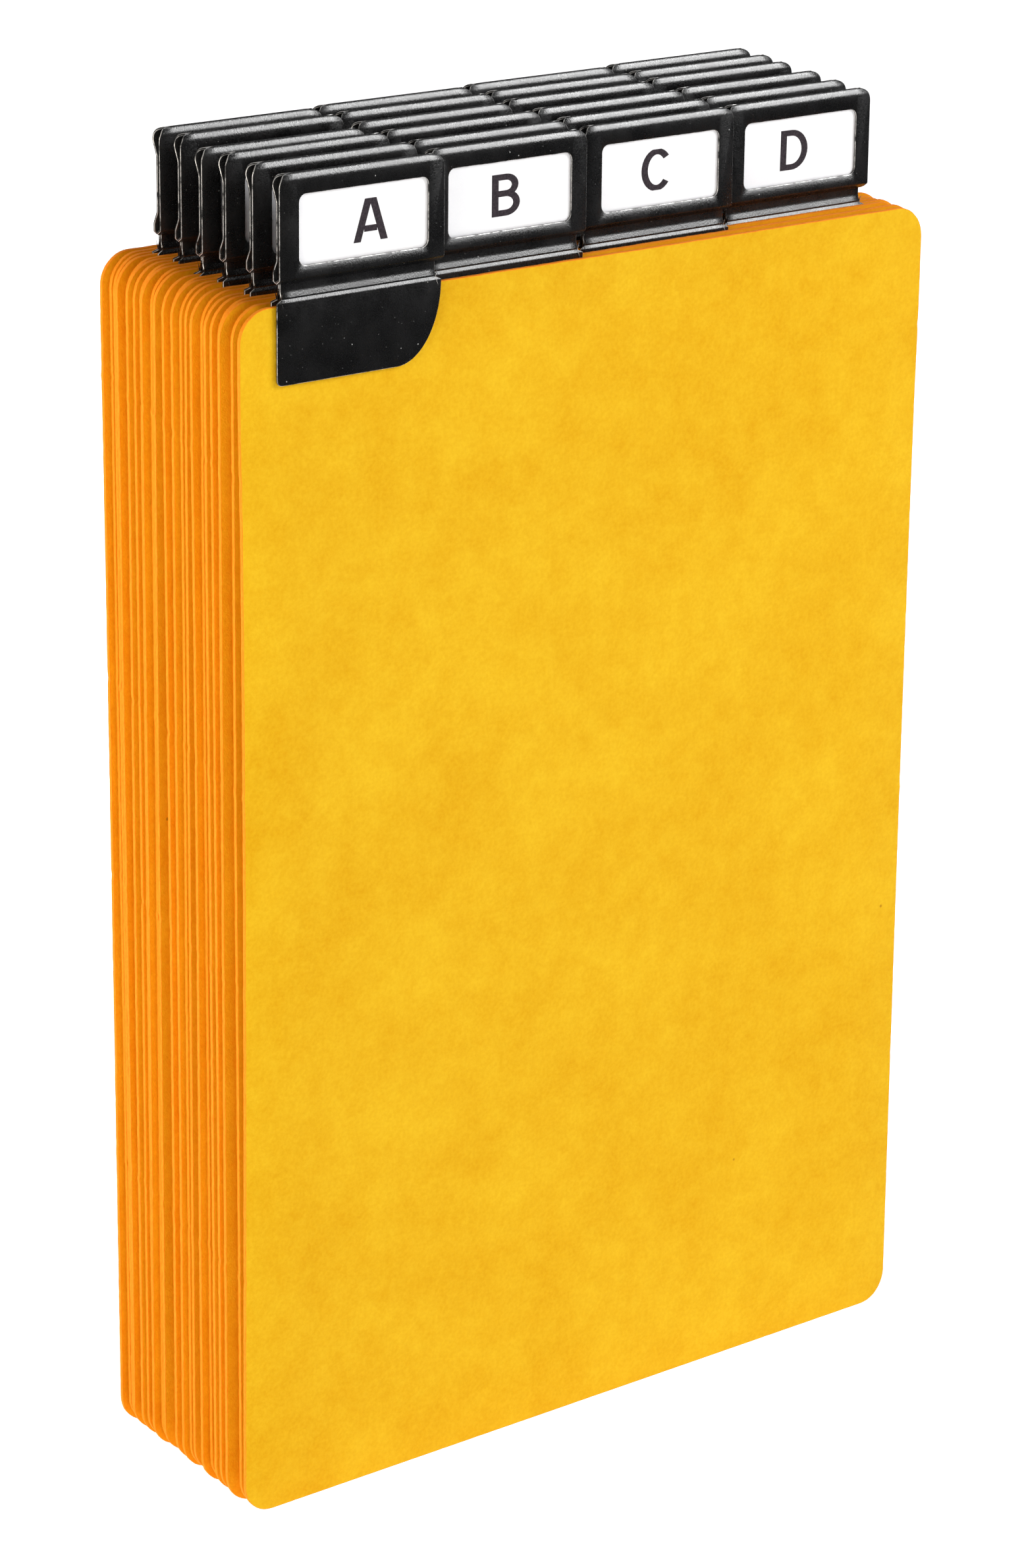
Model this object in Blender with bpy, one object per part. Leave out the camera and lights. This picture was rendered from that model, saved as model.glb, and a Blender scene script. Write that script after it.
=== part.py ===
"""A deck of alphabetical guide cards for a card file: 24 pressboard guides standing one behind another,
each with a folded sheet-metal tab holder clipped over its top edge and a paper label in the holder.

Metres, +Z up. The deck stands on z = 0 and leans back a little, with its bounding box centred over the
origin. Guide A at the front faces -Y.
"""

import math

import bmesh
import bpy
from mathutils import Matrix

MM = 0.001

# Guide cards: upright A5 pressboard
CARD_WIDTH = 148 * MM
CARD_HEIGHT = 210 * MM
CARD_THICKNESS = 0.7 * MM
CARD_CORNER = 5.6 * MM
CARD_CORNER_STEPS = 5

# The deck: one guide for each entry, its holder stepping through four columns from left to right
ENTRIES = tuple("abcdefghijklmnopqrstuvw") + ("xyz",)
COLUMNS = 4
COLUMN_PITCH = 33.4 * MM
FIRST_COLUMN = 6.8 * MM  # from the cards' left edge to the first holder

# Spacing: at the foot most cards nearly touch, and the deck gapes behind a few of them.
# At the head the legs of the holders hold the cards further apart, and the gapes close by half.
LEAN = math.radians(5)  # of the whole deck, towards the back
FOOT_FORWARD = 10.5 * MM  # from the origin to the middle of the deck's foot, to balance the lean
FOOT_PITCH = 1.17 * MM
HEAD_PITCH = 1.42 * MM
HEAD_SHARE = 0.5
GAPES = {
    "a": 0.5 * MM,
    "b": 1.6 * MM,
    "d": 0.1 * MM,
    "f": 1.4 * MM,
    "h": 2.2 * MM,
    "l": 0.1 * MM,
    "m": 2.6 * MM,
    "n": 0.4 * MM,
    "p": 0.2 * MM,
    "t": 0.2 * MM,
    "v": 0.1 * MM,
}
HEAD_GAPES = {"a": 0.75 * MM}  # further gaps, at the head only
SIDE_STAGGER = 0.6 * MM  # how far a card stands out to either side of the deck
SCATTER_STEP = 2.4  # radians from one guide's scatter to the next

# The holders are pushed on by hand, so each stands a little to one side of its column, and a little above or
# below the usual height. Each pair is for the left and the right end of a row of four, from the front row back.
ROW_SHIFTS = ((0.1, -0.95), (0.3, -0.75), (0.3, -0.6), (-0.3, -1.2), (0.65, -0.4), (0.5, -0.55))
ROW_SEATS = ((-0.3, -1.0), (-0.3, -1.05), (-0.55, -1.0), (-0.95, -0.95), (-0.55, -1.0), (-0.75, -1.05))
OWN_PLAYS = {"b": (-1.2, 0.2)}  # further (shift, seat) of one holder

# Tab holder: one strip of thin sheet, folded over at the top into a bead. The front plate is flat from the
# bead down to a shelf. The back plate closes on it below the bead, to grip the label, and stands off again
# above the neck. The neck spreads into two legs astride the card.
SHEET = 0.35 * MM
HOLDER_WIDTH = 33.0 * MM
ROLL_RADIUS = 0.9 * MM  # the bead, to the middle of the sheet
ROLL_STEPS = 4  # on each side of the top
HOLDER_TOP = 21.7 * MM  # heights are above the card's top edge
SHELF_HEIGHT = 4.9 * MM
BEAD_FOOT = 19.7 * MM
GRIP_TOP = 17.2 * MM
GRIP_FOOT = 7.9 * MM
BULGE_HEIGHT = 5.9 * MM
NECK_TOP = 3.9 * MM
NECK_FOOT = 1.8 * MM
LEG_TOP = 0.85 * MM
LEG_FOOT = -12.6 * MM
FRONT_OFFSET = -1.5 * MM  # offsets are from the card's middle to the middle of the sheet, to the back
GRIP_OFFSET = -0.8 * MM
NECK_OFFSET = 0.2 * MM
LEG_OFFSET = 0.78 * MM

# Outline of the strip, seen from the front
TOP_CORNER = 2.5 * MM
NECK_INSET = 1.0 * MM
BODY_CHAMFER = 0.5 * MM
LEG_CORNER = 1.0 * MM
LEG_SWEEP = 9.0 * MM  # width of the quarter ellipse at the leg's lower right
WINDOW_LEFT_MARGIN = 3.9 * MM
WINDOW_RIGHT_MARGIN = 3.3 * MM
WINDOW_TOP = 18.3 * MM
WINDOW_FOOT = 6.8 * MM
WINDOW_CORNER = 1.2 * MM

# Label: a strip of card stock behind the window
LABEL_WIDTH = 32.4 * MM
LABEL_THICKNESS = 0.25 * MM
LABEL_OFFSET = -1.15 * MM
LABEL_TOP = 19.4 * MM
LABEL_FOOT = 5.8 * MM
LABEL_CORNER = 3.5 * MM
LABEL_INSET = 0.3 * MM
LABEL_COLUMNS = (0, COLUMNS - 1)  # the end columns, whose labels are free to slide out sideways


def clear_scene():
    for obj in list(bpy.data.objects):
        bpy.data.objects.remove(obj, do_unlink=True)


def material(name, colour, roughness, metallic=0.0):
    made = bpy.data.materials.new(name)
    made.use_nodes = True
    shader = made.node_tree.nodes["Principled BSDF"]
    shader.inputs["Base Color"].default_value = (*colour, 1)
    shader.inputs["Roughness"].default_value = roughness
    shader.inputs["Metallic"].default_value = metallic
    return made


def arc(centre, radii, start, end, steps):
    """Points on an elliptical arc, from one angle in degrees to another."""
    angles = [math.radians(start + (end - start) * i / steps) for i in range(steps + 1)]
    return [(centre[0] + radii[0] * math.cos(a), centre[1] + radii[1] * math.sin(a)) for a in angles]


def rounded_rectangle(left, low, right, high, radius, steps):
    """The corners' arcs, counterclockwise from the lower right."""
    points = []
    corners = ((right, low, -90), (right, high, 0), (left, high, 90), (left, low, 180))
    for x, y, start in corners:
        inward = (radius if x == left else -radius, radius if y == low else -radius)
        points += arc((x + inward[0], y + inward[1]), (radius, radius), start, start + 90, steps)
    return points


def sheet_between(outline, front, back):
    """A flat piece with the given (x, z) outline, between two places along Y."""
    bm = bmesh.new()
    face = bm.faces.new([bm.verts.new((x, front, z)) for x, z in outline])
    made = bmesh.ops.extrude_face_region(bm, geom=[face])["geom"]
    moved = [v for v in made if isinstance(v, bmesh.types.BMVert)]
    bmesh.ops.translate(bm, vec=(0, back - front, 0), verts=moved)
    bmesh.ops.recalc_face_normals(bm, faces=bm.faces)
    return bm


def card_mesh():
    """A card standing on z = 0 with its front face at y = 0."""
    half = CARD_WIDTH / 2
    outline = rounded_rectangle(-half, 0, half, CARD_HEIGHT, CARD_CORNER, CARD_CORNER_STEPS)
    return finished(sheet_between(outline, 0, CARD_THICKNESS), "guide_card")


def finished(bm, name):
    mesh = bpy.data.meshes.new(name)
    bm.to_mesh(mesh)
    bm.free()
    return mesh


def side_profile(way):
    """The middle of the sheet from the top of the bead down to a leg's foot, as (offset from the card's
    middle, height): way is 1 in front, -1 behind."""
    centre = (FRONT_OFFSET + ROLL_RADIUS, HOLDER_TOP - SHEET / 2 - ROLL_RADIUS)
    roll = arc(centre, (ROLL_RADIUS, ROLL_RADIUS), 90, 90 + 90 * way, ROLL_STEPS)
    if way > 0:
        plate = [(FRONT_OFFSET, SHELF_HEIGHT), (-NECK_OFFSET, NECK_TOP)]
    else:
        plate = [
            (FRONT_OFFSET + 2 * ROLL_RADIUS, BEAD_FOOT),
            (GRIP_OFFSET, GRIP_TOP),
            (GRIP_OFFSET, GRIP_FOOT),
            (NECK_OFFSET, BULGE_HEIGHT),
        ]
    legs = [(NECK_OFFSET, NECK_FOOT), (LEG_OFFSET, LEG_TOP), (LEG_OFFSET, LEG_FOOT)]
    return roll + plate + [(-way * offset, height) for offset, height in legs]


def along(points):
    """How far each point lies along the line through them."""
    reached = [0.0]
    for a, b in zip(points, points[1:]):
        reached.append(reached[-1] + math.dist(a, b))
    return reached


def run_to(height, way=1):
    """Length of the strip from the top of the bead down one side to a height."""
    points = side_profile(way)
    lengths = along(points)
    for (_, high), (_, low), start, end in zip(points, points[1:], lengths, lengths[1:]):
        if low <= height <= high:
            return start + (end - start) * (high - height) / (high - low)
    raise ValueError("height outside the holder")


def blank_side(way):
    """Outline of half the flat strip, from the right of the bead round to its left."""
    right = HOLDER_WIDTH
    body, leg, foot = (run_to(height, way) for height in (NECK_TOP, LEG_TOP, LEG_FOOT))
    points = arc((right - TOP_CORNER, TOP_CORNER), (TOP_CORNER, TOP_CORNER), -90, 0, 3)
    points += [
        (right, body - BODY_CHAMFER),
        (right - BODY_CHAMFER, body),
        (right - NECK_INSET, body),
        (right - NECK_INSET, leg - BODY_CHAMFER),
    ]
    points += arc((right - LEG_SWEEP, leg), (LEG_SWEEP, foot - leg), 0, 90, 6)
    points += arc((LEG_CORNER, foot - LEG_CORNER), (LEG_CORNER, LEG_CORNER), 90, 180, 2)
    points += [
        (0, leg),
        (NECK_INSET, leg - BODY_CHAMFER),
        (NECK_INSET, body),
        (BODY_CHAMFER, body),
        (0, body - BODY_CHAMFER),
    ]
    points += arc((TOP_CORNER, TOP_CORNER), (TOP_CORNER, TOP_CORNER), 180, 270, 3)
    return [(x, way * s) for x, s in points]


def flat_blank(bends):
    """The flat strip as a mesh in X and Y, with the window cut out and an edge along every bend."""
    bm = bmesh.new()
    front = blank_side(1)
    back = blank_side(-1)[::-1]
    window = rounded_rectangle(
        WINDOW_LEFT_MARGIN,
        run_to(WINDOW_TOP),
        HOLDER_WIDTH - WINDOW_RIGHT_MARGIN,
        run_to(WINDOW_FOOT),
        WINDOW_CORNER,
        2,
    )
    for loop in (front + back[1:-1], window):
        corners = [bm.verts.new((x, s, 0)) for x, s in loop]
        for a, b in zip(corners, corners[1:] + corners[:1]):
            bm.edges.new((a, b))
    bmesh.ops.triangle_fill(bm, use_beauty=True, edges=bm.edges)
    for bend in bends:
        cut = bmesh.ops.bisect_plane(
            bm,
            geom=[*bm.verts, *bm.edges, *bm.faces],
            dist=1e-6,
            plane_co=(0, bend, 0),
            plane_no=(0, 1, 0),
        )
        for part in cut["geom_cut"]:
            if isinstance(part, bmesh.types.BMEdge):
                part.seam = True
    bmesh.ops.dissolve_limit(bm, angle_limit=0.01, verts=bm.verts, edges=bm.edges, delimit={"SEAM"})
    return bm


def offset_line(points, distance):
    """The line beside a line of (y, z) points, with mitred corners."""
    normals = []
    for (y0, z0), (y1, z1) in zip(points, points[1:]):
        length = math.dist((y0, z0), (y1, z1))
        normals.append(((z1 - z0) / length, (y0 - y1) / length))
    moved = []
    for i, (y, z) in enumerate(points):
        before = normals[max(i - 1, 0)]
        after = normals[min(i, len(normals) - 1)]
        share = distance / (1 + before[0] * after[0] + before[1] * after[1])
        moved.append((y + share * (before[0] + after[0]), z + share * (before[1] + after[1])))
    return moved


def holder_mesh():
    """A tab holder over a card whose middle is at y = CARD_THICKNESS / 2 and whose top is at CARD_HEIGHT."""
    back, front = side_profile(-1), side_profile(1)
    profile = back[:0:-1] + front
    bends = [-s for s in along(back)[:0:-1]] + along(front)
    skins = [offset_line(profile, distance) for distance in (SHEET / 2, -SHEET / 2)]
    flat = flat_blank(bends[1:-1])

    def folded(vert, skin):
        s = min(max(vert.co.y, bends[0]), bends[-1])
        at = next(i for i in range(1, len(bends)) if s <= bends[i])
        share = (s - bends[at - 1]) / (bends[at] - bends[at - 1])
        (y0, z0), (y1, z1) = skin[at - 1], skin[at]
        y = y0 + share * (y1 - y0) + CARD_THICKNESS / 2
        return (vert.co.x, y, z0 + share * (z1 - z0) + CARD_HEIGHT)

    bm = bmesh.new()
    outer, inner = ([bm.verts.new(folded(v, skin)) for v in flat.verts] for skin in skins)
    flat.verts.index_update()
    for face in flat.faces:
        ring = [v.index for v in face.verts]
        bm.faces.new([outer[i] for i in ring])
        bm.faces.new([inner[i] for i in reversed(ring)])
    for edge in flat.edges:
        if edge.is_boundary:
            a, b = (v.index for v in edge.verts)
            bm.faces.new([outer[a], outer[b], inner[b], inner[a]])
    flat.free()
    bmesh.ops.recalc_face_normals(bm, faces=bm.faces)
    return finished(bm, "tab_holder")


def label_mesh():
    """A label behind the window of a holder whose left end is at x = 0."""
    low, high = CARD_HEIGHT + LABEL_FOOT, CARD_HEIGHT + LABEL_TOP
    outline = rounded_rectangle(LABEL_INSET, low, LABEL_INSET + LABEL_WIDTH, high, LABEL_CORNER, 3)
    middle = CARD_THICKNESS / 2 + LABEL_OFFSET
    sheet = sheet_between(outline, middle - LABEL_THICKNESS / 2, middle + LABEL_THICKNESS / 2)
    return finished(sheet, "label")


def leaning(mesh, lean, shift):
    """A copy of a mesh, moved by (x, z) and then leaning back by an angle with its foot still flat on z = 0."""
    copy = mesh.copy()
    copy.transform(Matrix.Translation((shift[0], 0, shift[1])))
    tilt = Matrix.Identity(4)
    tilt[1][2] = math.sin(lean)
    tilt[2][2] = math.cos(lean)
    copy.transform(tilt)
    return copy


def add_piece(name, mesh, made_of, parent=None):
    mesh.name = name
    mesh.materials.append(made_of)
    piece = bpy.data.objects.new(name, mesh)
    piece.parent = parent
    bpy.context.scene.collection.objects.link(piece)
    return piece


def places(pitch, share, further):
    """Where each card's front face stands, from front to back."""
    found = [0.0]
    for entry in ENTRIES[:-1]:
        found.append(found[-1] + pitch + share * GAPES.get(entry, 0.0) + further.get(entry, 0.0))
    return [y - (found[-1] + CARD_THICKNESS) / 2 - FOOT_FORWARD for y in found]


def holder_play(index):
    """How far a guide's holder stands to the right of its column, and above its usual height."""
    row, column = divmod(index, COLUMNS)
    across = column / (COLUMNS - 1)
    own = OWN_PLAYS.get(ENTRIES[index], (0.0, 0.0))
    pairs = (ROW_SHIFTS[row], ROW_SEATS[row])
    return [MM * (left + (right - left) * across + more) for (left, right), more in zip(pairs, own)]


def main():
    clear_scene()
    pressboard = material("pressboard", (0.90, 0.52, 0.035), 0.75)
    tab_metal = material("tab_metal", (0.012, 0.012, 0.013), 0.35)
    label_paper = material("label_paper", (0.85, 0.86, 0.87), 0.8)
    card, holder, label = card_mesh(), holder_mesh(), label_mesh()
    feet = places(FOOT_PITCH, 1.0, {})
    heads = places(HEAD_PITCH, HEAD_SHARE, HEAD_GAPES)

    for index, entry in enumerate(ENTRIES):
        column = index % COLUMNS
        lean = LEAN + (heads[index] - feet[index]) / CARD_HEIGHT
        stagger = SIDE_STAGGER * math.sin(SCATTER_STEP * index)
        shift, seat = holder_play(index)
        left = FIRST_COLUMN + column * COLUMN_PITCH - CARD_WIDTH / 2 + shift
        guide = add_piece(f"guide_card_{entry}", leaning(card, lean, (stagger, 0)), pressboard)
        guide.location.y = feet[index]
        add_piece(f"tab_holder_{entry}", leaning(holder, lean, (left, seat)), tab_metal, guide)
        if column in LABEL_COLUMNS:
            add_piece(f"label_{entry}", leaning(label, lean, (left, seat)), label_paper, guide)


main()
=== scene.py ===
"""Looks for the deck of alphabetical guide cards.

Every card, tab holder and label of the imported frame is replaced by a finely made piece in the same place,
which rides on the same body. Metres, +Z up; the front guide faces -Y.
"""

import math
import random

import bmesh
import bpy
from mathutils import Matrix, Vector, geometry, noise


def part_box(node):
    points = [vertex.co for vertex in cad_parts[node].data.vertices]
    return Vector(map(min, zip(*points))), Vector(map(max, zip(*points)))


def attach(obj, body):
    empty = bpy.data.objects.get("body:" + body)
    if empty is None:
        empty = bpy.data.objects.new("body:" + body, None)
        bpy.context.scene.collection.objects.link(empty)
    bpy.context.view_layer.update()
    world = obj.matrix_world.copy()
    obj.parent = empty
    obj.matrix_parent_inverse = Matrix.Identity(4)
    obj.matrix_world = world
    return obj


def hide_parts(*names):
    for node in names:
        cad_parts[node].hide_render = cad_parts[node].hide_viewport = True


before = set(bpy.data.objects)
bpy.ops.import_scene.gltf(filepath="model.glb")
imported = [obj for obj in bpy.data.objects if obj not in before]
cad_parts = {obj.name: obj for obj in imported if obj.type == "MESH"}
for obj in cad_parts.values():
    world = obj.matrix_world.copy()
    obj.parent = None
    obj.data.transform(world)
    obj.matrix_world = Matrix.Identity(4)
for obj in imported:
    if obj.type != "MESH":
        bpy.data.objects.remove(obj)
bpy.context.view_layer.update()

MM = 0.001
SEED = 24

# Guides, front to back; the holders step through four columns from left to right
ENTRIES = tuple("abcdefghijklmnopqrstuvw") + ("xyz",)
COLUMNS = 4
SLIDING_COLUMNS = (0, COLUMNS - 1)

# Cards
CARD_CORNER = 5.6 * MM
EDGE_SPACING = 1.0 * MM  # between the points along a cut edge
EDGE_ROUNDING = 0.11 * MM
EDGE_ROUGHNESS = 0.05 * MM
BURR_HEIGHTS = (0.905, 0.655, 0.49, 0.245)  # where the cutting die left its nicks, as shares of the height
BURR_STEP = 0.0032  # how far a nick lies below the one on the card behind, as a share of the height
BURR_LENGTH = 0.9 * MM
BURR_DEPTH = 0.13 * MM
PANEL = 12 * MM  # spacing of the cuts that let a card bow
BOW_CLEARANCE = 2 * MM  # a card is flat down to this far below its holder's legs
BOW_FADE = 20 * MM  # and bows in full from this much further down

# Tab holders, from the card's top edge up
SHEET = 0.35 * MM
HOLDER_HEIGHT = 21.7 * MM
BEAD_RADIUS = 0.9 * MM
FRONT_OFFSET = -1.5 * MM
GRIP_OFFSET = -0.8 * MM
NECK_OFFSET = 0.2 * MM
LEG_OFFSET = 0.78 * MM
TOP_CORNER = 2.5 * MM
NECK_TOP = 3.9 * MM
LEG_TOP = 0.85 * MM
LEG_FOOT = -12.6 * MM
NECK_INSET = 1.0 * MM
BODY_CHAMFER = 0.5 * MM
LEG_CORNER = 1.0 * MM
LEG_SWEEP = 9.0 * MM
WINDOW_LEFT_MARGIN = 3.9 * MM
WINDOW_RIGHT_MARGIN = 3.3 * MM
WINDOW_TOP = 18.3 * MM
WINDOW_FOOT = 6.8 * MM
WINDOW_CORNER = 1.3 * MM
HOLDER_PANEL = 3.0 * MM
CUT_ROUNDING = 0.09 * MM
DENT = 0.05 * MM
DENT_SIZE = 7 * MM
DENT_FOOT = LEG_FOOT / 4  # the sheet is flat below this height
DENT_FADE = 8 * MM
# Bends of the sheet's middle: offset from the card's middle, height, radius. Offsets of the legs are outward.
FRONT_BENDS = (
    (FRONT_OFFSET, 4.9 * MM, 0.3 * MM),
    (-NECK_OFFSET, NECK_TOP, 0.3 * MM),
)
BACK_BENDS = (
    (FRONT_OFFSET + 2 * BEAD_RADIUS, 19.7 * MM, 1.2 * MM),
    (GRIP_OFFSET, 17.3 * MM, 2.0 * MM),
    (GRIP_OFFSET, 7.9 * MM, 1.6 * MM),
    (NECK_OFFSET, 5.8 * MM, 1.2 * MM),
)
LEG_BENDS = (
    (0.2 * MM, 2.5 * MM, 1.4 * MM),
    (0.56 * MM, 1.6 * MM, 0.1 * MM),
    (0.46 * MM, 1.35 * MM, 0.1 * MM),
    (LEG_OFFSET, LEG_TOP, 0.35 * MM),
)

# Labels
LABEL_WIDTH = 32.4 * MM
LABEL_THICKNESS = 0.25 * MM
LABEL_OFFSET = -1.15 * MM
LABEL_INSET = 0.3 * MM
LABEL_TOP = 19.4 * MM
LABEL_FOOT = 5.8 * MM
LABEL_CORNER = 3.5 * MM
INK_THICKNESS = 0.02 * MM

# Letters: drawn one unit tall in strokes of one thickness, then stretched sideways, which makes the upright
# strokes the thicker ones
LETTER_HEIGHT = 7.0 * MM
STROKE = 0.145
LETTER_STRETCH = 1.38
LETTER_GAP = 0.12
LETTER_WIDTHS = {
    "A": 0.67, "B": 0.61, "C": 0.7, "D": 0.65, "E": 0.57, "F": 0.54, "G": 0.72, "H": 0.63, "I": STROKE,
    "J": 0.5, "K": 0.67, "L": 0.54, "M": 0.77, "N": 0.64, "O": 0.75, "P": 0.6, "Q": 0.75, "R": 0.65,
    "S": 0.62, "T": 0.61, "U": 0.63, "V": 0.75, "W": 1.06, "X": 0.73, "Y": 0.74, "Z": 0.6,
}
MANY_LETTERS_SCALE = (0.62, 0.86)  # of the width and the height, for an entry of several letters
# Middle of the letter from the middle of the window; the letters not listed are scattered a little
LETTER_PLACES = {"a": 1.5 * MM, "b": -0.7 * MM, "c": -0.6 * MM, "d": -1.2 * MM}
LETTER_SCATTER = (1.3, 0.3)  # sideways and upward, in millimetres
LETTER_TILT = 0.8  # degrees either way

# Camera
CAMERA_PLACE = (-0.4926, -0.5855, 0.4209)
CAMERA_AZIMUTH = -39.84
CAMERA_ELEVATION = 20.23
CAMERA_ROLL = 3.854
CAMERA_LENS = 107.5
CAMERA_SHIFT = -0.1

# Studio, in metres
LAMP_TARGET = (0, 0, 0.12)
FLOOR_RADIUS = 8
FLOOR_GLOW = 0.8


# ---------------------------------------------------------------- materials

def new_material(name):
    made = bpy.data.materials.new(name)
    made.use_nodes = True
    tree = made.node_tree
    return made, tree, tree.nodes["Principled BSDF"]


def link(tree, source, target):
    tree.links.new(source, target)


def place_in_piece(tree, spread=0.0):
    """The point's place in metres, moved by a different amount on each piece if spread isn't 0."""
    coords = tree.nodes.new("ShaderNodeTexCoord").outputs["Object"]
    if not spread:
        return coords
    info = tree.nodes.new("ShaderNodeObjectInfo")
    moved = tree.nodes.new("ShaderNodeVectorMath")
    moved.operation = "MULTIPLY_ADD"
    moved.inputs[1].default_value = (1, 1, 1)
    away = tree.nodes.new("ShaderNodeVectorMath")
    away.operation = "SCALE"
    away.inputs[0].default_value = (spread, spread * 1.7, -spread * 0.6)
    link(tree, info.outputs["Random"], away.inputs["Scale"])
    link(tree, coords, moved.inputs[0])
    link(tree, away.outputs[0], moved.inputs[2])
    return moved.outputs[0]


def noise_at(tree, coords, size, detail=2.0, roughness=0.5, stretch=(1, 1, 1)):
    """Noise from 0 to 1 whose patches are about size metres across."""
    if stretch != (1, 1, 1):
        scaled = tree.nodes.new("ShaderNodeVectorMath")
        scaled.operation = "MULTIPLY"
        scaled.inputs[1].default_value = stretch
        link(tree, coords, scaled.inputs[0])
        coords = scaled.outputs[0]
    node = tree.nodes.new("ShaderNodeTexNoise")
    node.inputs["Scale"].default_value = 1 / size
    node.inputs["Detail"].default_value = detail
    node.inputs["Roughness"].default_value = roughness
    link(tree, coords, node.inputs["Vector"])
    return node.outputs["Fac"]


def remap(tree, value, low, high, to_low=0.0, to_high=1.0):
    node = tree.nodes.new("ShaderNodeMapRange")
    for socket, number in zip(node.inputs[1:5], (low, high, to_low, to_high)):
        socket.default_value = number
    link(tree, value, node.inputs[0])
    return node.outputs[0]


def arithmetic(tree, operation, first, second):
    node = tree.nodes.new("ShaderNodeMath")
    node.operation = operation
    for socket, value in zip(node.inputs, (first, second)):
        if isinstance(value, (int, float)):
            socket.default_value = value
        else:
            link(tree, value, socket)
    return node.outputs[0]


def blend_of(tree, factor, first, second):
    """A colour between two, each a tuple or a socket."""
    node = tree.nodes.new("ShaderNodeMix")
    node.data_type = "RGBA"
    link(tree, factor, node.inputs["Factor"])
    for socket, colour in zip((node.inputs[6], node.inputs[7]), (first, second)):
        if isinstance(colour, tuple):
            socket.default_value = (*colour, 1)
        else:
            link(tree, colour, socket)
    return node.outputs[2]


def dots(tree, coords, spacing, radius, share):
    """1 inside small round dots, one in each cell about spacing across, in a share of the cells."""
    cells = tree.nodes.new("ShaderNodeTexVoronoi")
    cells.inputs["Scale"].default_value = 1 / spacing
    link(tree, coords, cells.inputs["Vector"])
    near = remap(tree, cells.outputs["Distance"], radius / spacing, 0.6 * radius / spacing)
    split = tree.nodes.new("ShaderNodeSeparateColor")
    link(tree, cells.outputs["Color"], split.inputs[0])
    chosen = arithmetic(tree, "LESS_THAN", split.outputs[0], share)
    return arithmetic(tree, "MULTIPLY", near, chosen)


def weighted_sum(tree, *terms):
    """The sum of terms, each a value and its weight."""
    total = None
    for value, weight in terms:
        share = arithmetic(tree, "MULTIPLY", value, weight)
        total = share if total is None else arithmetic(tree, "ADD", total, share)
    return total


def bump(tree, shader, height, distance, strength=1.0):
    node = tree.nodes.new("ShaderNodeBump")
    node.inputs["Distance"].default_value = distance
    node.inputs["Strength"].default_value = strength
    link(tree, height, node.inputs["Height"])
    link(tree, node.outputs[0], shader.inputs["Normal"])


def pressboard_face(name, low, high):
    """Pressboard between two tones: cloudy, with a fine fibre grain and a few dark specks."""
    made, tree, shader = new_material(name)
    coords = place_in_piece(tree, 0.31)
    cloud = noise_at(tree, coords, 24 * MM, 4, 0.6)
    patch = noise_at(tree, coords, 5 * MM, 4, 0.65)
    fibre = noise_at(tree, coords, 0.7 * MM, 3, 0.6)
    grain = noise_at(tree, coords, 0.28 * MM, 2, 0.5)
    cloudy, patchy, fibrous = (remap(tree, value, 0.35, 0.65) for value in (cloud, patch, fibre))
    tone = weighted_sum(tree, (cloudy, 0.36), (patchy, 0.3), (fibrous, 0.34))
    colour = blend_of(tree, tone, low, high)
    specks = dots(tree, coords, 17 * MM, 0.4 * MM, 0.3)
    colour = blend_of(tree, specks, colour, (0.5, 0.22, 0.006))
    link(tree, colour, shader.inputs["Base Color"])
    link(tree, remap(tree, grain, 0.3, 0.7, 0.62, 0.8), shader.inputs["Roughness"])
    shader.inputs["Specular IOR Level"].default_value = 0.06
    bump(tree, shader, arithmetic(tree, "ADD", fibre, grain), 0.09 * MM, 0.6)
    return made


def pressboard_edge():
    """The cut edge: more orange, with the board's layers running along it."""
    made, tree, shader = new_material("pressboard_edge")
    coords = place_in_piece(tree, 0.31)
    layer = noise_at(tree, coords, 0.16 * MM, 3, 0.6, (0.5, 1, 0.06))
    fray = noise_at(tree, coords, 0.5 * MM, 3, 0.6)
    tone = weighted_sum(tree, (layer, 0.6), (fray, 0.4))
    colour = blend_of(tree, remap(tree, tone, 0.35, 0.65), (0.96, 0.235, 0.004), (0.97, 0.34, 0.016))
    link(tree, colour, shader.inputs["Base Color"])
    shader.inputs["Roughness"].default_value = 0.85
    shader.inputs["Specular IOR Level"].default_value = 0.2
    bump(tree, shader, tone, 0.12 * MM, 0.6)
    return made


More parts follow.
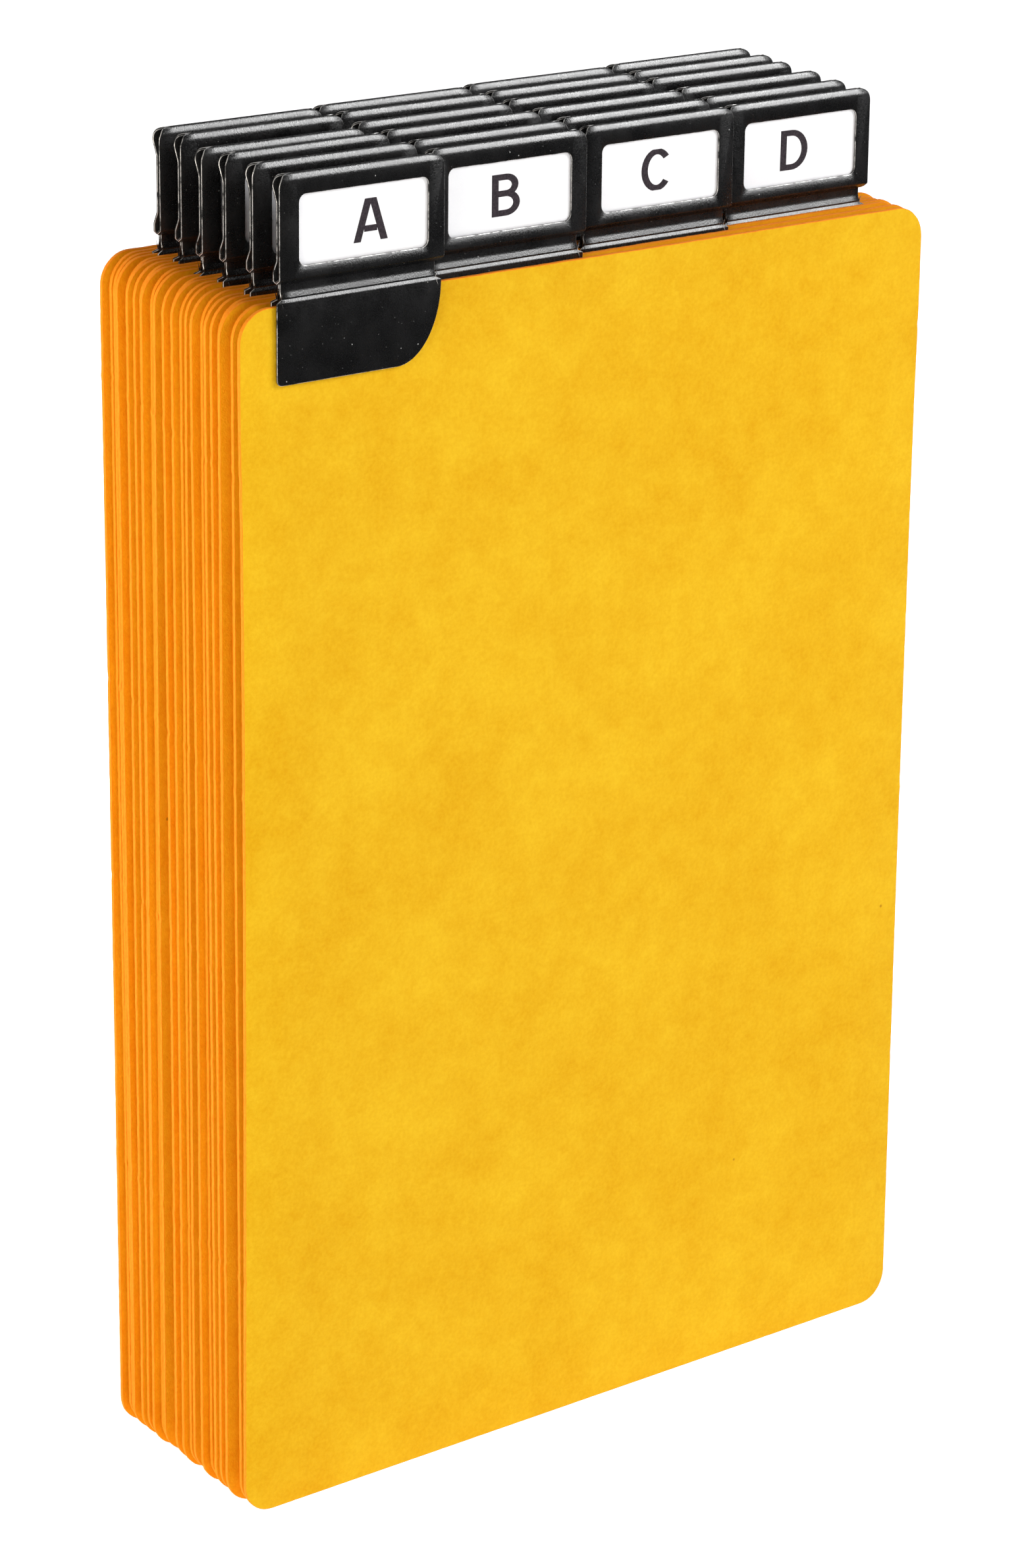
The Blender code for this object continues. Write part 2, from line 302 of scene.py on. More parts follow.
def black_enamel():
    """Baked semi-gloss black: a fine orange peel, uneven gloss and scattered dust."""
    made, tree, shader = new_material("black_enamel")
    coords = place_in_piece(tree, 0.17)
    peel = noise_at(tree, coords, 0.3 * MM, 3, 0.6)
    pore = noise_at(tree, coords, 0.13 * MM, 2, 0.6)
    cloud = noise_at(tree, coords, 5 * MM, 3, 0.5)
    dust = dots(tree, coords, 1.9 * MM, 0.13 * MM, 0.3)
    grit = dots(tree, coords, 0.8 * MM, 0.08 * MM, 0.3)
    pale = arithmetic(tree, "MAXIMUM", dust, arithmetic(tree, "MULTIPLY", grit, 0.4))
    dark = blend_of(tree, remap(tree, cloud, 0.3, 0.7), (0.0035, 0.0035, 0.0038), (0.008, 0.008, 0.0085))
    colour = blend_of(tree, pale, dark, (0.45, 0.45, 0.44))
    link(tree, colour, shader.inputs["Base Color"])
    peeled = remap(tree, peel, 0.3, 0.7, 0.22, 0.36)
    uneven = remap(tree, cloud, 0.3, 0.7, -0.03, 0.05)
    link(tree, arithmetic(tree, "ADD", peeled, uneven), shader.inputs["Roughness"])
    shader.inputs["IOR"].default_value = 1.8
    height = arithmetic(tree, "ADD", peel, arithmetic(tree, "MULTIPLY", pore, 0.5))
    bump(tree, shader, height, 0.05 * MM, 0.75)
    return made


def rubbed_and_highlit_arris():
    """The arris of the sheet's cut edge, where the enamel is rubbed off and the steel shows in places. Its
    bright grey is partly a painted highlight: the glint of light along the cut edges.
    """
    made, tree, shader = new_material("rubbed_and_highlit_arris")
    coords = place_in_piece(tree, 0.17)
    rub = noise_at(tree, coords, 1.6 * MM, 4, 0.6)
    wear_and_highlight = remap(tree, rub, 0.36, 0.56)
    # Bright grey steel: partly real bare metal where the enamel is rubbed off, partly a painted highlight
    # along the cut edge.
    colour = blend_of(tree, wear_and_highlight, (0.03, 0.03, 0.031), (0.62, 0.61, 0.60))
    link(tree, colour, shader.inputs["Base Color"])
    link(tree, arithmetic(tree, "MULTIPLY", wear_and_highlight, 0.4), shader.inputs["Metallic"])
    link(tree, remap(tree, rub, 0.3, 0.7, 0.45, 0.3), shader.inputs["Roughness"])
    return made


def label_paper():
    made, tree, shader = new_material("label_paper")
    coords = place_in_piece(tree, 0.11)
    cloud = noise_at(tree, coords, 7 * MM, 2, 0.5)
    fibre = noise_at(tree, coords, 0.3 * MM, 3, 0.6)
    tone = weighted_sum(tree, (cloud, 0.6), (fibre, 0.4))
    colour = blend_of(tree, remap(tree, tone, 0.3, 0.7), (0.91, 0.91, 0.94), (0.96, 0.96, 0.97))
    link(tree, colour, shader.inputs["Base Color"])
    shader.inputs["Roughness"].default_value = 0.7
    shader.inputs["Specular IOR Level"].default_value = 0.3
    bump(tree, shader, fibre, 0.02 * MM, 0.4)
    return made


def label_ink():
    """Dark printing ink, a little broken up by the paper's grain."""
    made, tree, shader = new_material("label_ink")
    coords = place_in_piece(tree, 0.11)
    grain = noise_at(tree, coords, 0.35 * MM, 3, 0.65)
    colour = blend_of(tree, remap(tree, grain, 0.35, 0.7), (0.02, 0.015, 0.02), (0.055, 0.04, 0.05))
    link(tree, colour, shader.inputs["Base Color"])
    shader.inputs["Roughness"].default_value = 0.6
    shader.inputs["Specular IOR Level"].default_value = 0.25
    return made


# ---------------------------------------------------------------- geometry

class Guide:
    """One guide's place in the frame: where its card's foot stands, how it leans, and where its holder is."""

    def __init__(self, index, entry):
        self.index = index
        self.entry = entry
        self.body = f"guide_{entry}"
        points = [v.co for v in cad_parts[f"guide_card_{entry}"].data.vertices]
        top = max(p.z for p in points)
        self.foot = min(p.y for p in points if p.z < CARD_CORNER / 100)
        head = min(p.y for p in points if p.z > top - CARD_CORNER / 100)
        self.height = math.hypot(head - self.foot, top)
        self.back, self.up = (head - self.foot) / self.height, top / self.height
        self.left = min(p.x for p in points)
        self.right = max(p.x for p in points)
        back = max(p.y for p in points if p.z < CARD_CORNER / 100)
        self.thickness = back - self.foot
        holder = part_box(f"tab_holder_{entry}")
        self.holder_left = holder[0][0]
        self.holder_width = holder[1][0] - holder[0][0]
        self.holder_top = holder[1][2] / self.up

    def place(self, x, y, z):
        """World place of a point given from the card's front face and up along it, leaning with the card."""
        return Vector((x, self.foot + y + self.back * z, self.up * z))


def arc(centre, radii, start, end, steps):
    """Points on an elliptical arc, from one angle in degrees to another."""
    angles = [math.radians(start + (end - start) * i / steps) for i in range(steps + 1)]
    return [(centre[0] + radii[0] * math.cos(a), centre[1] + radii[1] * math.sin(a)) for a in angles]


def rounded_rectangle(left, low, right, high, radius, steps):
    """The corners' arcs, counterclockwise from the lower right."""
    arcs = (
        ((right - radius, low + radius), -90),
        ((right - radius, high - radius), 0),
        ((left + radius, high - radius), 90),
        ((left + radius, low + radius), 180),
    )
    return [p for centre, start in arcs for p in arc(centre, (radius, radius), start, start + 90, steps)]


def closely_spaced(loop, spacing):
    """A closed line of points with more put in wherever two are further apart than spacing."""
    points = []
    for a, b in zip(loop, loop[1:] + loop[:1]):
        count = max(1, math.ceil(math.dist(a, b) / spacing))
        points += [tuple(p + (q - p) * i / count for p, q in zip(a, b)) for i in range(count)]
    return points


def cut_along(bm, normal, places):
    for place in places:
        bmesh.ops.bisect_plane(
            bm,
            geom=[*bm.verts, *bm.edges, *bm.faces],
            dist=1e-7,
            plane_co=Vector(normal) * place,
            plane_no=normal,
        )


def evenly(low, high, spacing):
    count = max(1, round((high - low) / spacing))
    return [low + (high - low) * i / count for i in range(1, count)]


def piece_from(bm, name, materials, guide, body=None, node=None, smooth_angle=35):
    mesh = bpy.data.meshes.new(name)
    bm.to_mesh(mesh)
    bm.free()
    for made in materials:
        mesh.materials.append(made)
    mesh.shade_smooth()
    mesh.set_sharp_from_angle(angle=math.radians(smooth_angle))
    piece = bpy.data.objects.new(name, mesh)
    bpy.context.scene.collection.objects.link(piece)
    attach(piece, body or guide.body)
    if node:
        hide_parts(node)
    return piece


def bow(guide, x, z):
    """How far a card bows out of its plane: not at its foot, nor where its holder's legs are and above."""
    across = (x - guide.left) / (guide.right - guide.left)
    up = z / guide.height
    belly = math.sin(math.pi * up)
    own = math.sin(2.4 * guide.index + 0.7)
    twist = math.sin(1.7 * guide.index + 2.0 + 2.2 * across)
    bend = 0.16 * own * belly + 0.1 * twist * belly * math.sin(2 * math.pi * up + guide.index)
    if guide.index == 0:
        bend = belly * (-0.75 + 1.1 * across) * (0.6 + 0.8 * up)
    below_legs = min(1.0, max(0.0, (guide.height - z + LEG_FOOT - BOW_CLEARANCE) / BOW_FADE))
    return bend * MM * below_legs


def edge_wear(guide, x, z, outward):
    """How far a point of the cut edge stands out of the clean outline."""
    rough = noise.fractal(Vector((x, guide.index * 0.37, z)) / (1.9 * MM), 0.6, 2.2, 3)
    out = EDGE_ROUGHNESS * rough
    if abs(outward[0]) > 0.9:
        side = 0.0 if outward[0] < 0 else 0.031
        for share in BURR_HEIGHTS:
            at = (share + side - BURR_STEP * (len(ENTRIES) - guide.index) * 0.5) * guide.height
            near = 1 - abs(z - at) / BURR_LENGTH
            if near > 0:
                out += BURR_DEPTH * near * math.copysign(1, math.sin(guide.index * 5.1 + share * 40) + 0.35)
    return out


def card_piece(guide, face, edge):
    bm = bmesh.new()
    loop = rounded_rectangle(guide.left, 0, guide.right, guide.height, CARD_CORNER, 10)
    loop = closely_spaced(loop, EDGE_SPACING)
    front = bm.faces.new([bm.verts.new((x, 0, z)) for x, z in loop])
    front.normal_update()
    if front.normal.y > 0:
        front.normal_flip()
    extruded = bmesh.ops.extrude_face_region(bm, geom=[front])["geom"]
    back = [v for v in extruded if isinstance(v, bmesh.types.BMVert)]
    bmesh.ops.translate(bm, vec=(0, guide.thickness, 0), verts=back)
    bmesh.ops.recalc_face_normals(bm, faces=bm.faces)
    for part in bm.faces:
        part.material_index = 0 if len(part.verts) > 4 else 1
    rims = [e for e in bm.edges if {f.material_index for f in e.link_faces} == {0, 1}]
    bmesh.ops.bevel(bm, geom=rims, offset=EDGE_ROUNDING, segments=2, affect="EDGES", profile=0.6, material=1)
    cut_along(bm, (1, 0, 0), evenly(guide.left, guide.right, PANEL))
    cut_along(bm, (0, 0, 1), evenly(0, guide.height, PANEL))

    inner_left, inner_right = guide.left + CARD_CORNER, guide.right - CARD_CORNER
    for vert in bm.verts:
        x, y, z = vert.co
        middle = (min(max(x, inner_left), inner_right), min(max(z, CARD_CORNER), guide.height - CARD_CORNER))
        outward = Vector((x - middle[0], z - middle[1]))
        if outward.length > CARD_CORNER - 2 * EDGE_ROUNDING:
            way = outward.normalized()
            wear = edge_wear(guide, x, z, way)
            if z < EDGE_SPACING:
                wear = min(wear, 0.0)
            x += way[0] * wear
            z += way[1] * wear
        vert.co = guide.place(x, y + bow(guide, x, z), z)
    return piece_from(bm, f"card_{guide.entry}", (face, edge), guide, node=f"guide_card_{guide.entry}")


def filleted(points, radii, steps):
    """A line of points with each inner corner replaced by an arc of its radius, or left alone at 0."""
    made = [points[0]]
    for before, corner, after, radius in zip(points, points[1:], points[2:], radii):
        a = Vector(before) - Vector(corner)
        b = Vector(after) - Vector(corner)
        half = a.angle(b) / 2
        reach = radius / math.tan(half) if radius else 0
        reach = min(reach, 0.48 * a.length, 0.48 * b.length)
        if reach < 1e-6:
            made.append(corner)
            continue
        radius = reach * math.tan(half)
        bisector = (a.normalized() + b.normalized()).normalized()
        centre = Vector(corner) + bisector * (radius / math.sin(half))
        start = Vector(corner) + a.normalized() * reach - centre
        end = Vector(corner) + b.normalized() * reach - centre
        for i in range(steps + 1):
            made.append(tuple(centre + start.slerp(end, i / steps) * radius))
    return made + [points[-1]]


def side_profile(way):
    """The middle of the sheet from the top of the bead down to a leg's foot, as (offset from the card's
    middle, height): way is 1 in front, -1 behind."""
    centre = (FRONT_OFFSET + BEAD_RADIUS, HOLDER_HEIGHT - SHEET / 2 - BEAD_RADIUS)
    bead = arc(centre, (BEAD_RADIUS, BEAD_RADIUS), 90, 90 + 90 * way, 9)
    bends = list(FRONT_BENDS if way > 0 else BACK_BENDS)
    bends += [(-way * offset, height, radius) for offset, height, radius in LEG_BENDS]
    foot = (-way * LEG_OFFSET, LEG_FOOT)
    corners = [bead[-1]] + [(offset, height) for offset, height, _ in bends] + [foot]
    return bead[:-1] + filleted(corners, [radius for _, _, radius in bends], 4)


def along(points):
    """How far each point lies along the line through them."""
    reached = [0.0]
    for a, b in zip(points, points[1:]):
        reached.append(reached[-1] + math.dist(a, b))
    return reached


def run_to(points, height):
    """Length of the strip from the top of the bead down one side to a height."""
    lengths = along(points)
    for (_, high), (_, low), start, end in zip(points, points[1:], lengths, lengths[1:]):
        if low <= height <= high:
            return start + (end - start) * (high - height) / (high - low)
    raise ValueError("height outside the holder")


def blank_side(width, way):
    """Outline of half the flat strip, from the right of the bead round to its left."""
    points = side_profile(way)
    body, leg, foot = (run_to(points, height) for height in (NECK_TOP, LEG_TOP, LEG_FOOT))
    line = arc((width - TOP_CORNER, TOP_CORNER), (TOP_CORNER, TOP_CORNER), -90, 0, 8)
    line += [
        (width, body - BODY_CHAMFER),
        (width - BODY_CHAMFER, body),
        (width - NECK_INSET, body),
        (width - NECK_INSET, leg - BODY_CHAMFER),
        (width - NECK_INSET / 2, leg - BODY_CHAMFER / 2),
    ]
    line += arc((width - LEG_SWEEP, leg), (LEG_SWEEP, foot - leg), 0, 90, 18)
    line += arc((LEG_CORNER, foot - LEG_CORNER), (LEG_CORNER, LEG_CORNER), 90, 180, 5)
    line += [
        (0, leg),
        (NECK_INSET / 2, leg - BODY_CHAMFER / 2),
        (NECK_INSET, leg - BODY_CHAMFER),
        (NECK_INSET, body),
        (BODY_CHAMFER, body),
        (0, body - BODY_CHAMFER),
    ]
    line += arc((TOP_CORNER, TOP_CORNER), (TOP_CORNER, TOP_CORNER), 180, 270, 8)
    return [(x, way * s) for x, s in line]


def flat_blank(width, bends):
    """The flat strip in X and Y, with its window cut out and an edge along every bend."""
    bm = bmesh.new()
    front = blank_side(width, 1)
    back = blank_side(width, -1)[::-1]
    top, foot = (run_to(side_profile(1), height) for height in (WINDOW_TOP, WINDOW_FOOT))
    window = rounded_rectangle(WINDOW_LEFT_MARGIN, top, width - WINDOW_RIGHT_MARGIN, foot, WINDOW_CORNER, 5)
    for loop in (front + back[1:-1], window):
        corners = [bm.verts.new((x, s, 0)) for x, s in loop]
        for a, b in zip(corners, corners[1:] + corners[:1]):
            bm.edges.new((a, b))
    bmesh.ops.triangle_fill(bm, use_beauty=True, edges=bm.edges)
    for normal, places in (((0, 1, 0), bends[1:-1]), ((1, 0, 0), evenly(0, width, HOLDER_PANEL))):
        for place in places:
            cut = bmesh.ops.bisect_plane(
                bm,
                geom=[*bm.verts, *bm.edges, *bm.faces],
                dist=1e-7,
                plane_co=Vector(normal) * place,
                plane_no=normal,
            )
            for part in cut["geom_cut"]:
                if isinstance(part, bmesh.types.BMEdge):
                    part.seam = True
    bmesh.ops.dissolve_limit(bm, angle_limit=0.01, verts=bm.verts, edges=bm.edges, delimit={"SEAM"})
    return bm


def offset_line(points, distance):
    """The line beside a line of (y, z) points, with mitred corners."""
    normals = []
    for (y0, z0), (y1, z1) in zip(points, points[1:]):
        length = math.dist((y0, z0), (y1, z1))
        normals.append(((z1 - z0) / length, (y0 - y1) / length))
    moved = []
    for i, (y, z) in enumerate(points):
        before = normals[max(i - 1, 0)]
        after = normals[min(i, len(normals) - 1)]
        share = distance / (1 + before[0] * after[0] + before[1] * after[1])
        moved.append((y + share * (before[0] + after[0]), z + share * (before[1] + after[1])))
    return moved


def holder_piece(guide, enamel, wear_and_highlight):
    seat = guide.holder_top - guide.height - HOLDER_HEIGHT
    back, front = side_profile(-1), side_profile(1)
    profile = back[:0:-1] + front
    bends = [-s for s in along(back)[:0:-1]] + along(front)
    skins = [offset_line(profile, distance) for distance in (SHEET / 2, -SHEET / 2)]
    flat = flat_blank(guide.holder_width, bends)
    shape = random.Random(SEED + guide.index)
    phase = Vector((shape.random(), shape.random(), shape.random())) * 10

    def folded(vert, skin):
        s = min(max(vert.co.y, bends[0]), bends[-1])
        at = next(i for i in range(1, len(bends)) if s <= bends[i])
        share = (s - bends[at - 1]) / (bends[at] - bends[at - 1])
        (y0, z0), (y1, z1) = skin[at - 1], skin[at]
        y = y0 + share * (y1 - y0)
        z = z0 + share * (z1 - z0)
        x = guide.holder_left + vert.co.x
        wave = noise.noise(Vector((x, y, z)) / DENT_SIZE + phase)
        fade = min(1.0, max(0.0, (z - DENT_FOOT) / DENT_FADE))
        return guide.place(x, guide.thickness / 2 + y + DENT * wave * fade, guide.height + seat + z)

    bm = bmesh.new()
    flat.verts.index_update()
    outer, inner = ([bm.verts.new(folded(v, skin)) for v in flat.verts] for skin in skins)
    for face in flat.faces:
        ring = [v.index for v in face.verts]
        bm.faces.new([outer[i] for i in ring])
        bm.faces.new([inner[i] for i in reversed(ring)])
    for edge in flat.edges:
        if edge.is_boundary:
            a, b = (v.index for v in edge.verts)
            wall = bm.faces.new([outer[a], outer[b], inner[b], inner[a]])
            wall.material_index = 2
    flat.free()
    bmesh.ops.recalc_face_normals(bm, faces=bm.faces)
    edges = [e for e in bm.edges if len({f.material_index for f in e.link_faces}) == 2]
    bmesh.ops.bevel(bm, geom=edges, offset=CUT_ROUNDING, segments=1, affect="EDGES", profile=0.5, material=1)
    name, node = f"holder_{guide.entry}", f"tab_holder_{guide.entry}"
    return piece_from(bm, name, (enamel, wear_and_highlight, enamel), guide, node=node, smooth_angle=50)


def bowl(left, right, low, high):
    """A stroke that leaves the stem to the right, turns back and returns to it."""
    reach = min((high - low) / 2, (right - left) * 0.62)
    turn = arc((right - reach, (low + high) / 2), (reach, (high - low) / 2), 90, -90, 16)
    return [(left, high)] + turn + [(left, low)]


def ring(width, start, end):
    """Part of the round stroke of a C, a G or an O, between two angles in degrees."""
    half = STROKE / 2
    return arc((width / 2, 0.5), (width / 2 - half, 0.52 - half), start, end, 24)


def letter_strokes(letter):
    """A capital's width and the middle lines of its strokes. Ends past 0 or 1 are cut off level there."""
    half = STROKE / 2
    top, foot = 1 - half, half
    width = LETTER_WIDTHS[letter]
    right, middle = width - half, width / 2
    stem = [(half, 0), (half, 1)]
    far_stem = [(right, 0), (right, 1)]
    drawn = {
        "A": [[(0.03, -0.1), (middle - 0.03, 1.06)], [(width - 0.03, -0.1), (middle + 0.03, 1.06)],
              [(0.2, 0.3), (width - 0.2, 0.3)]],
        "B": [stem, bowl(half, right - 0.035, 0.535, top), bowl(half, right, foot, 0.535)],
        "C": [ring(width, 40, 320)],
        "D": [stem, bowl(half, right, foot, top)],
        "E": [stem, [(half, top), (width, top)], [(half, 0.52), (width - 0.04, 0.52)],
              [(half, foot), (width, foot)]],
        "F": [stem, [(half, top), (width, top)], [(half, 0.5), (width - 0.06, 0.5)]],
        "G": [ring(width, 40, 335), [(middle, 0.45), (right, 0.45), (right, 0.02)]],
        "H": [stem, far_stem, [(half, 0.53), (right, 0.53)]],
        "I": [stem],
        "J": [[(right, 1), (right, 0.27)] + arc((middle, 0.27), (middle - half, 0.27 - half), 0, -180, 14)[1:]
              + [(half, 0.33)]],
        "K": [stem, [(half, 0.28), (width - 0.05, 1.08)], [(0.22, 0.5), (width - 0.03, -0.08)]],
        "L": [stem, [(half, foot), (width, foot)]],
        "M": [stem, far_stem, [(0.05, 1.08), (middle, -0.05)], [(width - 0.05, 1.08), (middle, -0.05)]],
        "N": [stem, far_stem, [(0.02, 1.08), (width - 0.02, -0.08)]],
        "O": [ring(width, -10, 190), ring(width, 170, 370)],
        "P": [stem, bowl(half, right, 0.44, top)],
        "Q": [ring(width, -10, 190), ring(width, 170, 370), [(middle + 0.02, 0.26), (width, -0.03)]],
        "R": [stem, bowl(half, right - 0.01, 0.48, top),
              [(middle - 0.02, 0.48), (right - 0.02, 0.36), (right, 0)]],
        "S": [arc((middle, 0.73), (middle - half - 0.02, 0.29 - half), 20, 262, 16)
              + arc((middle, 0.27), (middle - half, 0.29 - half), 82, -160, 16)],
        "T": [[(0, top), (width, top)], [(middle, 0), (middle, 1)]],
        "U": [[(half, 1), (half, 0.3)] + arc((middle, 0.3), (middle - half, 0.32 - half), 180, 360, 16)[1:]
              + [(right, 1)]],
        "V": [[(0.04, 1.08), (middle, -0.1)], [(width - 0.04, 1.08), (middle, -0.1)]],
        "W": [[(0.05, 1.08), (0.29, -0.1)], [(0.25, -0.1), (middle, 1.03)],
              [(middle, 1.03), (width - 0.25, -0.1)], [(width - 0.29, -0.1), (width - 0.05, 1.08)]],
        "X": [[(0.01, 1.08), (width - 0.01, -0.08)], [(width - 0.01, 1.08), (0.01, -0.08)]],
        "Y": [[(0.02, 1.08), (middle, 0.4)], [(width - 0.02, 1.08), (middle, 0.4)],
              [(middle, 0), (middle, 0.46)]],
        "Z": [[(0, top), (width, top)], [(width - 0.04, 1), (0.04, 0)], [(0, foot), (width, foot)]],
    }
    return width, drawn[letter]


def letter_mesh(text):
    """The entry's letters as one upright flat piece, centred on the origin and facing -Y."""
    bm = bmesh.new()
    reached = 0.0
    for letter in text:
        width, strokes = letter_strokes(letter)
        points, loops = [], []
        for stroke in strokes:
            outline = offset_line(stroke, STROKE / 2) + offset_line(stroke, -STROKE / 2)[::-1]
            loops.append(list(range(len(points), len(points) + len(outline))))
            points += [Vector(p) for p in outline]
        places, _, triangles, _, _, inside = geometry.delaunay_2d_cdt(points, [], loops, 0, 1e-5)
        corners = [bm.verts.new((reached + p.x, 0, p.y)) for p in places]
        for triangle, strokes_there in zip(triangles, inside):
            if strokes_there:
                bm.faces.new([corners[i] for i in triangle])
        reached += width + LETTER_GAP
    for height, way in ((0, -1), (1, 1)):
        bmesh.ops.bisect_plane(
            bm,
            geom=[*bm.verts, *bm.edges, *bm.faces],
            dist=1e-6,
            plane_co=(0, 0, height),
            plane_no=(0, 0, way),
            clear_outer=True,
        )
    bmesh.ops.delete(bm, geom=[v for v in bm.verts if not v.link_faces], context="VERTS")
    bmesh.ops.dissolve_limit(bm, angle_limit=0.001, verts=bm.verts, edges=bm.edges)
    extruded = bmesh.ops.extrude_face_region(bm, geom=list(bm.faces))["geom"]
    front = [v for v in extruded if isinstance(v, bmesh.types.BMVert)]
    bmesh.ops.translate(bm, vec=(0, -1, 0), verts=front)
    bmesh.ops.recalc_face_normals(bm, faces=bm.faces)
    across, up = MANY_LETTERS_SCALE if len(text) > 1 else (1, 1)
    middle = Vector(((reached - LETTER_GAP) / 2, -0.5, 0.5))
    sizes = (LETTER_HEIGHT * LETTER_STRETCH * across, INK_THICKNESS, LETTER_HEIGHT * up, 1)
    bm.transform(Matrix.Diagonal(sizes) @ Matrix.Translation(-middle))
    mesh = bpy.data.meshes.new("letters")
    bm.to_mesh(mesh)
    bm.free()
    return mesh


def label_piece(guide, paper, ink):
    slides = guide.index % COLUMNS in SLIDING_COLUMNS
    node = f"label_{guide.entry}" if slides else None
    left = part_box(node)[0][0] if slides else guide.holder_left + LABEL_INSET
    right = left + LABEL_WIDTH
    base = guide.holder_top - HOLDER_HEIGHT
    outline = rounded_rectangle(left, base + LABEL_FOOT, right, base + LABEL_TOP, LABEL_CORNER, 10)
    bm = bmesh.new()
    middle = guide.thickness / 2 + LABEL_OFFSET
    front = bm.faces.new([bm.verts.new((x, middle - LABEL_THICKNESS / 2, z)) for x, z in outline])
    extruded = bmesh.ops.extrude_face_region(bm, geom=[front])["geom"]
    back = [v for v in extruded if isinstance(v, bmesh.types.BMVert)]
    bmesh.ops.translate(bm, vec=(0, LABEL_THICKNESS, 0), verts=back)
    bmesh.ops.recalc_face_normals(bm, faces=bm.faces)

    letters = letter_mesh(guide.entry.upper())
    scatter = random.Random(SEED * 7 + guide.index)
    sideways, upward = LETTER_SCATTER
    off = LETTER_PLACES.get(guide.entry, scatter.uniform(-sideways, sideways) * MM)
    place = Vector((
        guide.holder_left + (guide.holder_width + WINDOW_LEFT_MARGIN - WINDOW_RIGHT_MARGIN) / 2 + off,
        middle - LABEL_THICKNESS / 2 - INK_THICKNESS / 2,
        base + (WINDOW_TOP + WINDOW_FOOT) / 2 + scatter.uniform(-upward, upward) * MM,
    ))
    tilt = Matrix.Rotation(math.radians(scatter.uniform(-LETTER_TILT, LETTER_TILT)), 4, "Y")
    letters.transform(Matrix.Translation(place) @ tilt)
    papers = len(bm.faces)
    bm.from_mesh(letters)
    bm.faces.ensure_lookup_table()
    for part in bm.faces[papers:]:
        part.material_index = 1
    for vert in bm.verts:
        vert.co = guide.place(*vert.co)
    name = f"index_label_{guide.entry}"
    return piece_from(bm, name, (paper, ink), guide, body=node, node=node)


# ---------------------------------------------------------------- studio

def area_light(name, direction, distance, size, power, length_along, colour=(1, 1, 1)):
    """A soft oblong light, in a direction from the deck and aimed at it, its second side along an axis."""
    target = Vector(LAMP_TARGET)
    data = bpy.data.lights.new(name, "AREA")
    data.shape = "RECTANGLE"
    data.size, data.size_y = size
    data.energy = power
    data.color = colour
    lamp = bpy.data.objects.new(name, data)
    way = Vector(direction).normalized()
    long_axis = Vector(length_along)
    long_axis = (long_axis - long_axis.dot(way) * way).normalized()
    turn = Matrix((long_axis.cross(way), long_axis, way)).transposed()
    lamp.matrix_world = Matrix.Translation(target + way * distance) @ turn.to_4x4()
    bpy.context.scene.collection.objects.link(lamp)
    return lamp


def world_light(seen, diffuse, glossy):
    """An even pale surround, of one brightness to the camera, one for diffuse and one for glossy light."""
    world = bpy.data.worlds.new("surround")
    world.use_nodes = True
    bpy.context.scene.world = world
    tree = world.node_tree
    back = tree.nodes["Background"]
    back.inputs["Color"].default_value = (1, 1, 1, 1)
    path = tree.nodes.new("ShaderNodeLightPath")
    strength = remap(tree, path.outputs["Is Glossy Ray"], 0, 1, diffuse, glossy)
    for_camera = tree.nodes.new("ShaderNodeMix")
    for_camera.inputs[3].default_value = seen
    link(tree, path.outputs["Is Camera Ray"], for_camera.inputs[0])
    link(tree, strength, for_camera.inputs[2])
    link(tree, for_camera.outputs[0], back.inputs["Strength"])


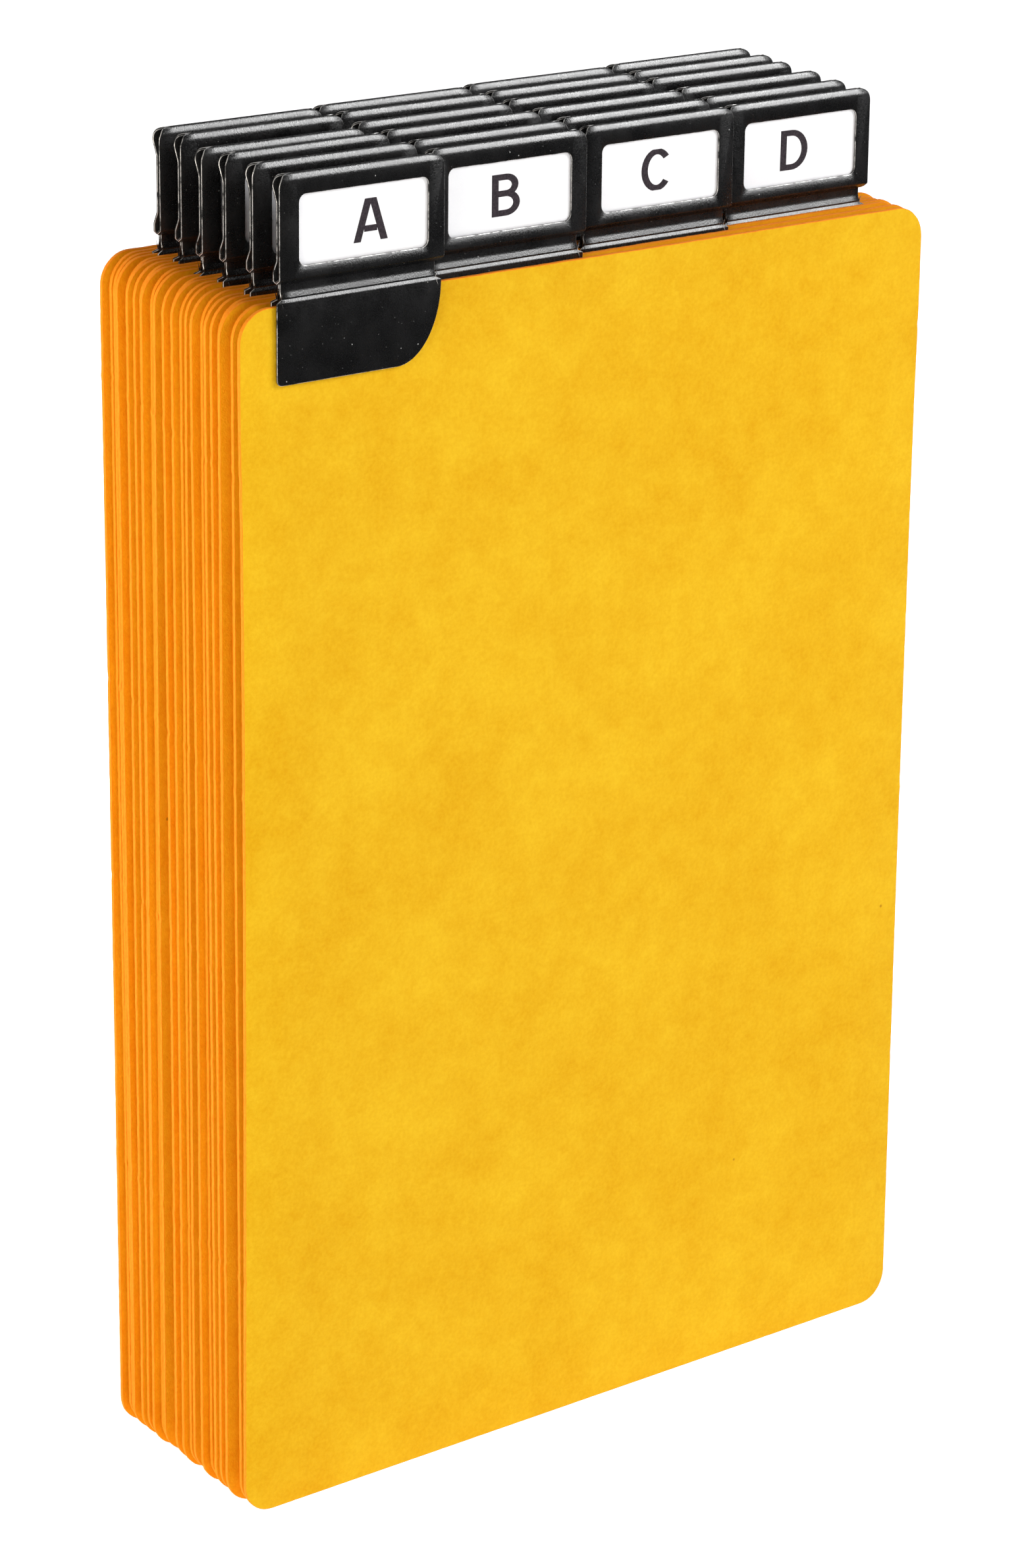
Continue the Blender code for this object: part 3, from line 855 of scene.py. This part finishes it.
def floor():
    made, tree, shader = new_material("studio_floor")
    coords = place_in_piece(tree)
    tone = noise_at(tree, coords, 0.5, 2, 0.5)
    link(tree, blend_of(tree, tone, (0.86, 0.86, 0.865), (0.90, 0.90, 0.905)), shader.inputs["Base Color"])
    shader.inputs["Roughness"].default_value = 0.9
    shader.inputs["Specular IOR Level"].default_value = 0.1
    shader.inputs["Emission Color"].default_value = (1, 1, 1, 1)
    shader.inputs["Emission Strength"].default_value = FLOOR_GLOW
    bm = bmesh.new()
    bmesh.ops.create_circle(bm, cap_ends=True, radius=FLOOR_RADIUS, segments=96)
    mesh = bpy.data.meshes.new("floor")
    bm.to_mesh(mesh)
    bm.free()
    mesh.materials.append(made)
    obj = bpy.data.objects.new("floor", mesh)
    bpy.context.scene.collection.objects.link(obj)
    obj.visible_glossy = False


def camera():
    data = bpy.data.cameras.new("camera")
    data.lens = CAMERA_LENS
    data.sensor_width = 36
    data.shift_y = CAMERA_SHIFT
    data.clip_start, data.clip_end = 0.01, 50
    obj = bpy.data.objects.new("camera", data)
    turn = Matrix.Rotation(math.radians(CAMERA_AZIMUTH), 4, "Z")
    tip = Matrix.Rotation(math.radians(90 - CAMERA_ELEVATION), 4, "X")
    roll = Matrix.Rotation(math.radians(CAMERA_ROLL), 4, "Z")
    obj.matrix_world = Matrix.Translation(CAMERA_PLACE) @ turn @ tip @ roll
    bpy.context.scene.collection.objects.link(obj)
    bpy.context.scene.camera = obj


# ---------------------------------------------------------------- the deck

bpy.context.scene.view_settings.view_transform = "Standard"
camera()
floor()
world_light(seen=0.97, diffuse=0.15, glossy=0.03)
area_light(
    "key", (0.62, -0.52, 0.58), distance=1.1, size=(0.5, 0.5), power=7.8, length_along=(0, 0.75, 0.67)
)
area_light(
    "side", (-0.95, -0.15, 0.3), distance=1.1, size=(0.5, 0.5), power=8.0, length_along=(0, 0, 1),
    colour=(1, 0.93, 0.82),
)
sheen = area_light(
    "sheen", (0.6, -0.05, 0.8), distance=1.1, size=(0.25, 0.7), power=8.5, length_along=(0, 1, 0)
)
sheen.visible_diffuse = False  # it only puts a gloss on the black enamel
area_light("rim", (0.1, 0.8, 0.6), distance=1.2, size=(0.5, 0.2), power=2.5, length_along=(0, 0, 1))

# The front card's board has the plain colour. Every card behind it gets a deeper, more orange copy of the
# same board: painted shade standing in for the shade and orange bounce light between the cards.
front_card = pressboard_face("pressboard_faded", (0.715, 0.355, 0.003), (0.83, 0.51, 0.016))
painted_gap_shade = pressboard_face("pressboard_deep", (0.85, 0.295, 0.002), (0.95, 0.43, 0.009))
edge = pressboard_edge()
enamel, wear_and_highlight = black_enamel(), rubbed_and_highlit_arris()
paper, ink = label_paper(), label_ink()
for index, entry in enumerate(ENTRIES):
    guide = Guide(index, entry)
    card_piece(guide, front_card if index == 0 else painted_gap_shade, edge)
    holder_piece(guide, enamel, wear_and_highlight)
    label_piece(guide, paper, ink)
